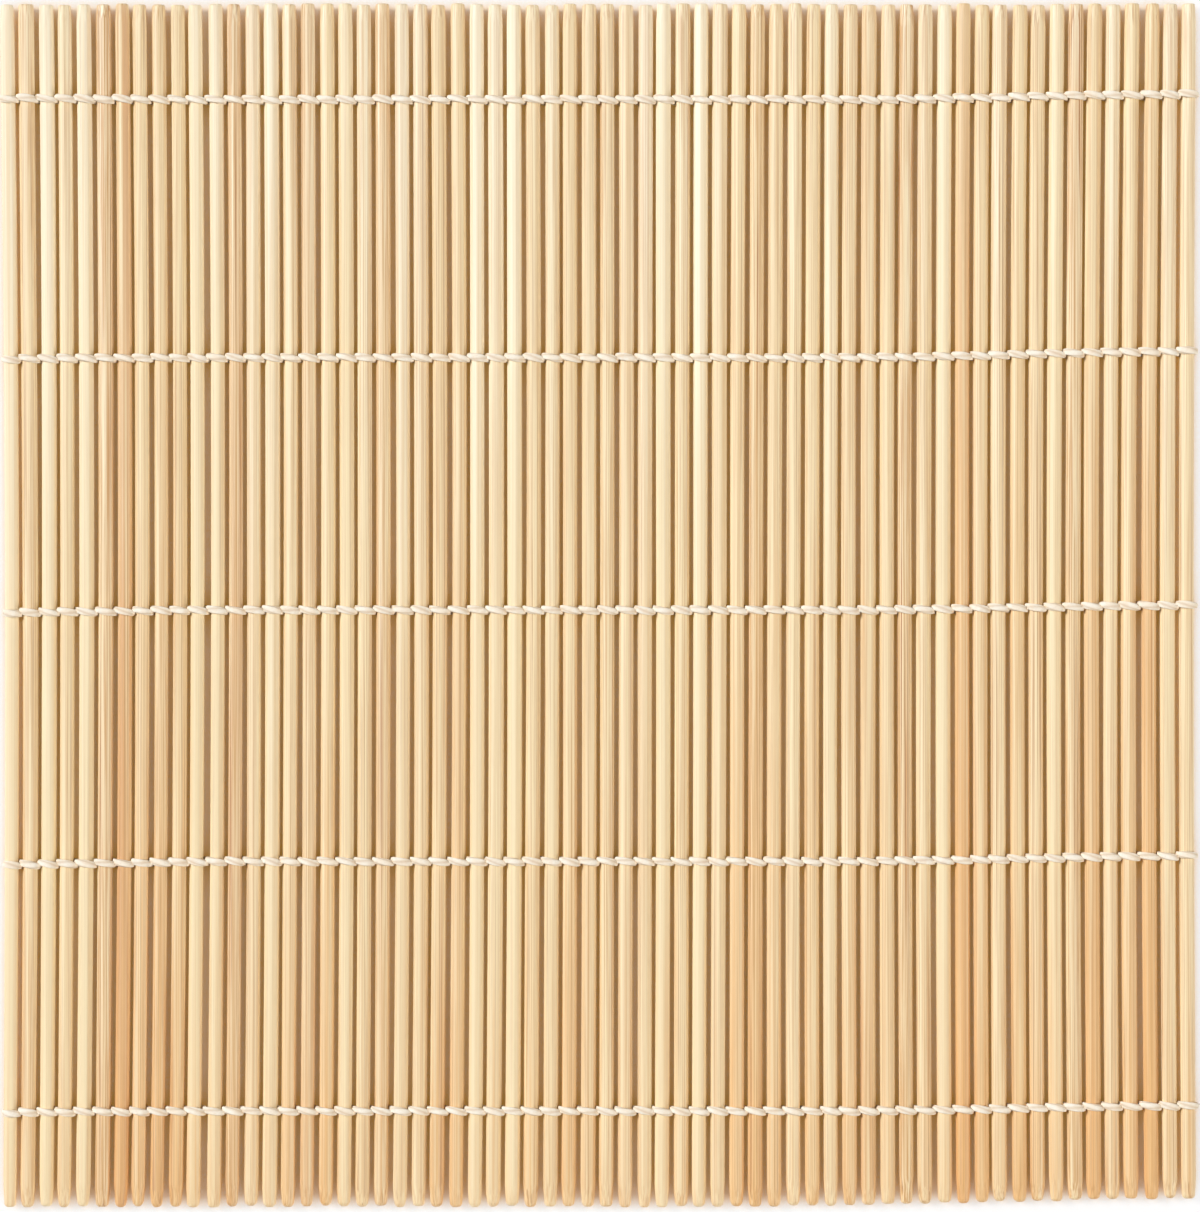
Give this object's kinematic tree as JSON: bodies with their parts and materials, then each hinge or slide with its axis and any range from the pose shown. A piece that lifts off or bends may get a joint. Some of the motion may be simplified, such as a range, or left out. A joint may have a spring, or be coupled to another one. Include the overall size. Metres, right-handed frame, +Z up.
{
  "type": "sushi rolling mat",
  "caption": "Flexible square mat of thin round bamboo sticks, bound side by side with rows of twined cotton cord, that rolls up to shape rolled rice.",
  "frame": {"origin": "on the table, under the middle of the flat mat: the bottom centre of its box", "axes": "+X across the sticks towards the last stick, +Y along the sticks, +Z up"},
  "size_m": [0.2388, 0.24, 0.0046],
  "materials": {
    "bamboo": "raw pale bamboo, fine lengthwise fibres, turned smooth and tumbled",
    "cotton_cord": "plied off-white cotton cord, soft and slightly fuzzy"
  },
  "bodies": {
    "edge_sticks": {"sticks_01_02": "bamboo", "binding_cord_1": "cotton_cord", "binding_cord_2": "cotton_cord", "binding_cord_3": "cotton_cord", "binding_cord_4": "cotton_cord", "binding_cord_5": "cotton_cord", "end_knots": "cotton_cord"},
    "sticks_03_04": {"sticks_03_04": "bamboo"},
    "sticks_05_06": {"sticks_05_06": "bamboo"},
    "sticks_07_08": {"sticks_07_08": "bamboo"},
    "sticks_09_10": {"sticks_09_10": "bamboo"},
    "sticks_11_12": {"sticks_11_12": "bamboo"},
    "sticks_13_14": {"sticks_13_14": "bamboo"},
    "sticks_15_16": {"sticks_15_16": "bamboo"},
    "sticks_17_18": {"sticks_17_18": "bamboo"},
    "sticks_19_20": {"sticks_19_20": "bamboo"},
    "stick_21": {"stick_21": "bamboo"},
    "stick_22": {"stick_22": "bamboo"},
    "stick_23": {"stick_23": "bamboo"},
    "stick_24": {"stick_24": "bamboo"},
    "stick_25": {"stick_25": "bamboo"},
    "stick_26": {"stick_26": "bamboo"},
    "stick_27": {"stick_27": "bamboo"},
    "stick_28": {"stick_28": "bamboo"},
    "stick_29": {"stick_29": "bamboo"},
    "stick_30": {"stick_30": "bamboo"},
    "stick_31": {"stick_31": "bamboo"},
    "stick_32": {"stick_32": "bamboo"},
    "stick_33": {"stick_33": "bamboo"},
    "stick_34": {"stick_34": "bamboo"},
    "stick_35": {"stick_35": "bamboo"},
    "stick_36": {"stick_36": "bamboo"},
    "stick_37": {"stick_37": "bamboo"},
    "stick_38": {"stick_38": "bamboo"},
    "stick_39": {"stick_39": "bamboo"},
    "stick_40": {"stick_40": "bamboo"},
    "stick_41": {"stick_41": "bamboo"},
    "stick_42": {"stick_42": "bamboo"},
    "stick_43": {"stick_43": "bamboo"},
    "stick_44": {"stick_44": "bamboo"},
    "stick_45": {"stick_45": "bamboo"},
    "stick_46": {"stick_46": "bamboo"},
    "stick_47": {"stick_47": "bamboo"},
    "stick_48": {"stick_48": "bamboo"},
    "stick_49": {"stick_49": "bamboo"},
    "stick_50": {"stick_50": "bamboo"},
    "stick_51": {"stick_51": "bamboo"},
    "stick_52": {"stick_52": "bamboo"},
    "stick_53": {"stick_53": "bamboo"},
    "stick_54": {"stick_54": "bamboo"},
    "stick_55": {"stick_55": "bamboo"},
    "stick_56": {"stick_56": "bamboo"},
    "stick_57": {"stick_57": "bamboo"},
    "stick_58": {"stick_58": "bamboo"},
    "stick_59": {"stick_59": "bamboo"},
    "stick_60": {"stick_60": "bamboo"},
    "stick_61": {"stick_61": "bamboo"},
    "stick_62": {"stick_62": "bamboo"},
    "stick_63": {"stick_63": "bamboo"},
    "stick_64": {"stick_64": "bamboo"}
  },
  "joints": [
    {"name": "roll_section_1", "type": "hinge", "parent": "edge_sticks", "child": "sticks_03_04", "pos_m": [-0.1116, 0, 0.00229], "axis": [0, -1, 0], "range_deg": [0, 18.87], "deforming": ["binding_cord_1", "binding_cord_2", "binding_cord_3", "binding_cord_4", "binding_cord_5"]},
    {"name": "bend_04", "type": "hinge", "parent": "sticks_03_04", "child": "sticks_05_06", "pos_m": [-0.10416, 0, 0.00229], "axis": [0, -1, 0], "range_deg": [0, 19.12]},
    {"name": "bend_06", "type": "hinge", "parent": "sticks_05_06", "child": "sticks_07_08", "pos_m": [-0.09672, 0, 0.00229], "axis": [0, -1, 0], "range_deg": [0, 19.36]},
    {"name": "bend_08", "type": "hinge", "parent": "sticks_07_08", "child": "sticks_09_10", "pos_m": [-0.08928, 0, 0.00229], "axis": [0, -1, 0], "range_deg": [0, 19.62]},
    {"name": "bend_10", "type": "hinge", "parent": "sticks_09_10", "child": "sticks_11_12", "pos_m": [-0.08184, 0, 0.00229], "axis": [0, -1, 0], "range_deg": [0, 19.88]},
    {"name": "bend_12", "type": "hinge", "parent": "sticks_11_12", "child": "sticks_13_14", "pos_m": [-0.0744, 0, 0.00229], "axis": [0, -1, 0], "range_deg": [0, 20.16]},
    {"name": "bend_14", "type": "hinge", "parent": "sticks_13_14", "child": "sticks_15_16", "pos_m": [-0.06696, 0, 0.00229], "axis": [0, -1, 0], "range_deg": [0, 20.45]},
    {"name": "bend_16", "type": "hinge", "parent": "sticks_15_16", "child": "sticks_17_18", "pos_m": [-0.05952, 0, 0.00229], "axis": [0, -1, 0], "range_deg": [0, 20.75]},
    {"name": "bend_18", "type": "hinge", "parent": "sticks_17_18", "child": "sticks_19_20", "pos_m": [-0.05208, 0, 0.00229], "axis": [0, -1, 0], "range_deg": [0, 21.07]},
    {"name": "bend_20", "type": "hinge", "parent": "sticks_19_20", "child": "stick_21", "pos_m": [-0.04464, 0, 0.00229], "axis": [0, -1, 0], "range_deg": [0, 16.05]},
    {"name": "roll_section_2", "type": "hinge", "parent": "stick_21", "child": "stick_22", "pos_m": [-0.04092, 0, 0.00229], "axis": [0, -1, 0], "range_deg": [0, 10.78], "deforming": ["binding_cord_1", "binding_cord_2", "binding_cord_3", "binding_cord_4", "binding_cord_5"]},
    {"name": "bend_22", "type": "hinge", "parent": "stick_22", "child": "stick_23", "pos_m": [-0.0372, 0, 0.00229], "axis": [0, -1, 0], "range_deg": [0, 10.87]},
    {"name": "bend_23", "type": "hinge", "parent": "stick_23", "child": "stick_24", "pos_m": [-0.03348, 0, 0.00229], "axis": [0, -1, 0], "range_deg": [0, 10.96]},
    {"name": "bend_24", "type": "hinge", "parent": "stick_24", "child": "stick_25", "pos_m": [-0.02976, 0, 0.00229], "axis": [0, -1, 0], "range_deg": [0, 11.06]},
    {"name": "bend_25", "type": "hinge", "parent": "stick_25", "child": "stick_26", "pos_m": [-0.02604, 0, 0.00229], "axis": [0, -1, 0], "range_deg": [0, 11.15]},
    {"name": "bend_26", "type": "hinge", "parent": "stick_26", "child": "stick_27", "pos_m": [-0.02232, 0, 0.00229], "axis": [0, -1, 0], "range_deg": [0, 11.25]},
    {"name": "bend_27", "type": "hinge", "parent": "stick_27", "child": "stick_28", "pos_m": [-0.0186, 0, 0.00229], "axis": [0, -1, 0], "range_deg": [0, 11.35]},
    {"name": "bend_28", "type": "hinge", "parent": "stick_28", "child": "stick_29", "pos_m": [-0.01488, 0, 0.00229], "axis": [0, -1, 0], "range_deg": [0, 11.45]},
    {"name": "bend_29", "type": "hinge", "parent": "stick_29", "child": "stick_30", "pos_m": [-0.01116, 0, 0.00229], "axis": [0, -1, 0], "range_deg": [0, 11.55]},
    {"name": "bend_30", "type": "hinge", "parent": "stick_30", "child": "stick_31", "pos_m": [-0.00744, 0, 0.00229], "axis": [0, -1, 0], "range_deg": [0, 11.66]},
    {"name": "bend_31", "type": "hinge", "parent": "stick_31", "child": "stick_32", "pos_m": [-0.00372, 0, 0.00229], "axis": [0, -1, 0], "range_deg": [0, 11.77]},
    {"name": "roll_section_3", "type": "hinge", "parent": "stick_32", "child": "stick_33", "pos_m": [0, 0, 0.00229], "axis": [0, -1, 0], "range_deg": [0, 11.88], "deforming": ["binding_cord_1", "binding_cord_2", "binding_cord_3", "binding_cord_4", "binding_cord_5"]},
    {"name": "bend_33", "type": "hinge", "parent": "stick_33", "child": "stick_34", "pos_m": [0.00372, 0, 0.00229], "axis": [0, -1, 0], "range_deg": [0, 12]},
    {"name": "bend_34", "type": "hinge", "parent": "stick_34", "child": "stick_35", "pos_m": [0.00744, 0, 0.00229], "axis": [0, -1, 0], "range_deg": [0, 12.12]},
    {"name": "bend_35", "type": "hinge", "parent": "stick_35", "child": "stick_36", "pos_m": [0.01116, 0, 0.00229], "axis": [0, -1, 0], "range_deg": [0, 12.25]},
    {"name": "bend_36", "type": "hinge", "parent": "stick_36", "child": "stick_37", "pos_m": [0.01488, 0, 0.00229], "axis": [0, -1, 0], "range_deg": [0, 12.38]},
    {"name": "bend_37", "type": "hinge", "parent": "stick_37", "child": "stick_38", "pos_m": [0.0186, 0, 0.00229], "axis": [0, -1, 0], "range_deg": [0, 12.51]},
    {"name": "bend_38", "type": "hinge", "parent": "stick_38", "child": "stick_39", "pos_m": [0.02232, 0, 0.00229], "axis": [0, -1, 0], "range_deg": [0, 12.65]},
    {"name": "bend_39", "type": "hinge", "parent": "stick_39", "child": "stick_40", "pos_m": [0.02604, 0, 0.00229], "axis": [0, -1, 0], "range_deg": [0, 12.79]},
    {"name": "bend_40", "type": "hinge", "parent": "stick_40", "child": "stick_41", "pos_m": [0.02976, 0, 0.00229], "axis": [0, -1, 0], "range_deg": [0, 12.94]},
    {"name": "bend_41", "type": "hinge", "parent": "stick_41", "child": "stick_42", "pos_m": [0.03348, 0, 0.00229], "axis": [0, -1, 0], "range_deg": [0, 13.09]},
    {"name": "bend_42", "type": "hinge", "parent": "stick_42", "child": "stick_43", "pos_m": [0.0372, 0, 0.00229], "axis": [0, -1, 0], "range_deg": [0, 13.25]},
    {"name": "roll_section_4", "type": "hinge", "parent": "stick_43", "child": "stick_44", "pos_m": [0.04092, 0, 0.00229], "axis": [0, -1, 0], "range_deg": [0, 13.41], "deforming": ["binding_cord_1", "binding_cord_2", "binding_cord_3", "binding_cord_4", "binding_cord_5"]},
    {"name": "bend_44", "type": "hinge", "parent": "stick_44", "child": "stick_45", "pos_m": [0.04464, 0, 0.00229], "axis": [0, -1, 0], "range_deg": [0, 13.58]},
    {"name": "bend_45", "type": "hinge", "parent": "stick_45", "child": "stick_46", "pos_m": [0.04836, 0, 0.00229], "axis": [0, -1, 0], "range_deg": [0, 13.76]},
    {"name": "bend_46", "type": "hinge", "parent": "stick_46", "child": "stick_47", "pos_m": [0.05208, 0, 0.00229], "axis": [0, -1, 0], "range_deg": [0, 13.94]},
    {"name": "bend_47", "type": "hinge", "parent": "stick_47", "child": "stick_48", "pos_m": [0.0558, 0, 0.00229], "axis": [0, -1, 0], "range_deg": [0, 14.13]},
    {"name": "bend_48", "type": "hinge", "parent": "stick_48", "child": "stick_49", "pos_m": [0.05952, 0, 0.00229], "axis": [0, -1, 0], "range_deg": [0, 14.33]},
    {"name": "bend_49", "type": "hinge", "parent": "stick_49", "child": "stick_50", "pos_m": [0.06324, 0, 0.00229], "axis": [0, -1, 0], "range_deg": [0, 14.54]},
    {"name": "bend_50", "type": "hinge", "parent": "stick_50", "child": "stick_51", "pos_m": [0.06696, 0, 0.00229], "axis": [0, -1, 0], "range_deg": [0, 14.75]},
    {"name": "bend_51", "type": "hinge", "parent": "stick_51", "child": "stick_52", "pos_m": [0.07068, 0, 0.00229], "axis": [0, -1, 0], "range_deg": [0, 14.98]},
    {"name": "bend_52", "type": "hinge", "parent": "stick_52", "child": "stick_53", "pos_m": [0.0744, 0, 0.00229], "axis": [0, -1, 0], "range_deg": [0, 15.22]},
    {"name": "bend_53", "type": "hinge", "parent": "stick_53", "child": "stick_54", "pos_m": [0.07812, 0, 0.00229], "axis": [0, -1, 0], "range_deg": [0, 15.47]},
    {"name": "roll_section_5", "type": "hinge", "parent": "stick_54", "child": "stick_55", "pos_m": [0.08184, 0, 0.00229], "axis": [0, -1, 0], "range_deg": [0, 15.72], "deforming": ["binding_cord_1", "binding_cord_2", "binding_cord_3", "binding_cord_4", "binding_cord_5"]},
    {"name": "bend_55", "type": "hinge", "parent": "stick_55", "child": "stick_56", "pos_m": [0.08556, 0, 0.00229], "axis": [0, -1, 0], "range_deg": [0, 16]},
    {"name": "bend_56", "type": "hinge", "parent": "stick_56", "child": "stick_57", "pos_m": [0.08928, 0, 0.00229], "axis": [0, -1, 0], "range_deg": [0, 16.29]},
    {"name": "bend_57", "type": "hinge", "parent": "stick_57", "child": "stick_58", "pos_m": [0.093, 0, 0.00229], "axis": [0, -1, 0], "range_deg": [0, 16.6]},
    {"name": "bend_58", "type": "hinge", "parent": "stick_58", "child": "stick_59", "pos_m": [0.09672, 0, 0.00229], "axis": [0, -1, 0], "range_deg": [0, 16.93]},
    {"name": "bend_59", "type": "hinge", "parent": "stick_59", "child": "stick_60", "pos_m": [0.10044, 0, 0.00229], "axis": [0, -1, 0], "range_deg": [0, 17.27]},
    {"name": "bend_60", "type": "hinge", "parent": "stick_60", "child": "stick_61", "pos_m": [0.10416, 0, 0.00229], "axis": [0, -1, 0], "range_deg": [0, 17.64]},
    {"name": "bend_61", "type": "hinge", "parent": "stick_61", "child": "stick_62", "pos_m": [0.10788, 0, 0.00229], "axis": [0, -1, 0], "range_deg": [0, 18.03]},
    {"name": "bend_62", "type": "hinge", "parent": "stick_62", "child": "stick_63", "pos_m": [0.1116, 0, 0.00229], "axis": [0, -1, 0], "range_deg": [0, 18.45]},
    {"name": "bend_63", "type": "hinge", "parent": "stick_63", "child": "stick_64", "pos_m": [0.11532, 0, 0.00229], "axis": [0, -1, 0], "range_deg": [0, 18.9]}
  ],
  "couplings": [
    {"joint": "bend_04", "follows": "roll_section_1", "ratio": 1.0128},
    {"joint": "bend_06", "follows": "roll_section_1", "ratio": 1.0258},
    {"joint": "bend_08", "follows": "roll_section_1", "ratio": 1.0393},
    {"joint": "bend_10", "follows": "roll_section_1", "ratio": 1.0534},
    {"joint": "bend_12", "follows": "roll_section_1", "ratio": 1.0681},
    {"joint": "bend_14", "follows": "roll_section_1", "ratio": 1.0834},
    {"joint": "bend_16", "follows": "roll_section_1", "ratio": 1.0994},
    {"joint": "bend_18", "follows": "roll_section_1", "ratio": 1.1161},
    {"joint": "bend_20", "follows": "roll_section_2", "ratio": 1.4882},
    {"joint": "bend_22", "follows": "roll_section_2", "ratio": 1.0082},
    {"joint": "bend_23", "follows": "roll_section_2", "ratio": 1.0165},
    {"joint": "bend_24", "follows": "roll_section_2", "ratio": 1.0251},
    {"joint": "bend_25", "follows": "roll_section_2", "ratio": 1.0338},
    {"joint": "bend_26", "follows": "roll_section_2", "ratio": 1.0428},
    {"joint": "bend_27", "follows": "roll_section_2", "ratio": 1.052},
    {"joint": "bend_28", "follows": "roll_section_2", "ratio": 1.0615},
    {"joint": "bend_29", "follows": "roll_section_2", "ratio": 1.0713},
    {"joint": "bend_30", "follows": "roll_section_2", "ratio": 1.0813},
    {"joint": "bend_31", "follows": "roll_section_2", "ratio": 1.0916},
    {"joint": "bend_33", "follows": "roll_section_3", "ratio": 1.01},
    {"joint": "bend_34", "follows": "roll_section_3", "ratio": 1.0202},
    {"joint": "bend_35", "follows": "roll_section_3", "ratio": 1.0307},
    {"joint": "bend_36", "follows": "roll_section_3", "ratio": 1.0415},
    {"joint": "bend_37", "follows": "roll_section_3", "ratio": 1.0527},
    {"joint": "bend_38", "follows": "roll_section_3", "ratio": 1.0643},
    {"joint": "bend_39", "follows": "roll_section_3", "ratio": 1.0762},
    {"joint": "bend_40", "follows": "roll_section_3", "ratio": 1.0886},
    {"joint": "bend_41", "follows": "roll_section_3", "ratio": 1.1014},
    {"joint": "bend_42", "follows": "roll_section_3", "ratio": 1.1147},
    {"joint": "bend_44", "follows": "roll_section_4", "ratio": 1.0123},
    {"joint": "bend_45", "follows": "roll_section_4", "ratio": 1.0254},
    {"joint": "bend_46", "follows": "roll_section_4", "ratio": 1.0391},
    {"joint": "bend_47", "follows": "roll_section_4", "ratio": 1.0533},
    {"joint": "bend_48", "follows": "roll_section_4", "ratio": 1.0682},
    {"joint": "bend_49", "follows": "roll_section_4", "ratio": 1.0836},
    {"joint": "bend_50", "follows": "roll_section_4", "ratio": 1.0998},
    {"joint": "bend_51", "follows": "roll_section_4", "ratio": 1.1167},
    {"joint": "bend_52", "follows": "roll_section_4", "ratio": 1.1344},
    {"joint": "bend_53", "follows": "roll_section_4", "ratio": 1.153},
    {"joint": "bend_55", "follows": "roll_section_5", "ratio": 1.0177},
    {"joint": "bend_56", "follows": "roll_section_5", "ratio": 1.0362},
    {"joint": "bend_57", "follows": "roll_section_5", "ratio": 1.0557},
    {"joint": "bend_58", "follows": "roll_section_5", "ratio": 1.0764},
    {"joint": "bend_59", "follows": "roll_section_5", "ratio": 1.0984},
    {"joint": "bend_60", "follows": "roll_section_5", "ratio": 1.1217},
    {"joint": "bend_61", "follows": "roll_section_5", "ratio": 1.1466},
    {"joint": "bend_62", "follows": "roll_section_5", "ratio": 1.1732},
    {"joint": "bend_63", "follows": "roll_section_5", "ratio": 1.2018}
  ]
}
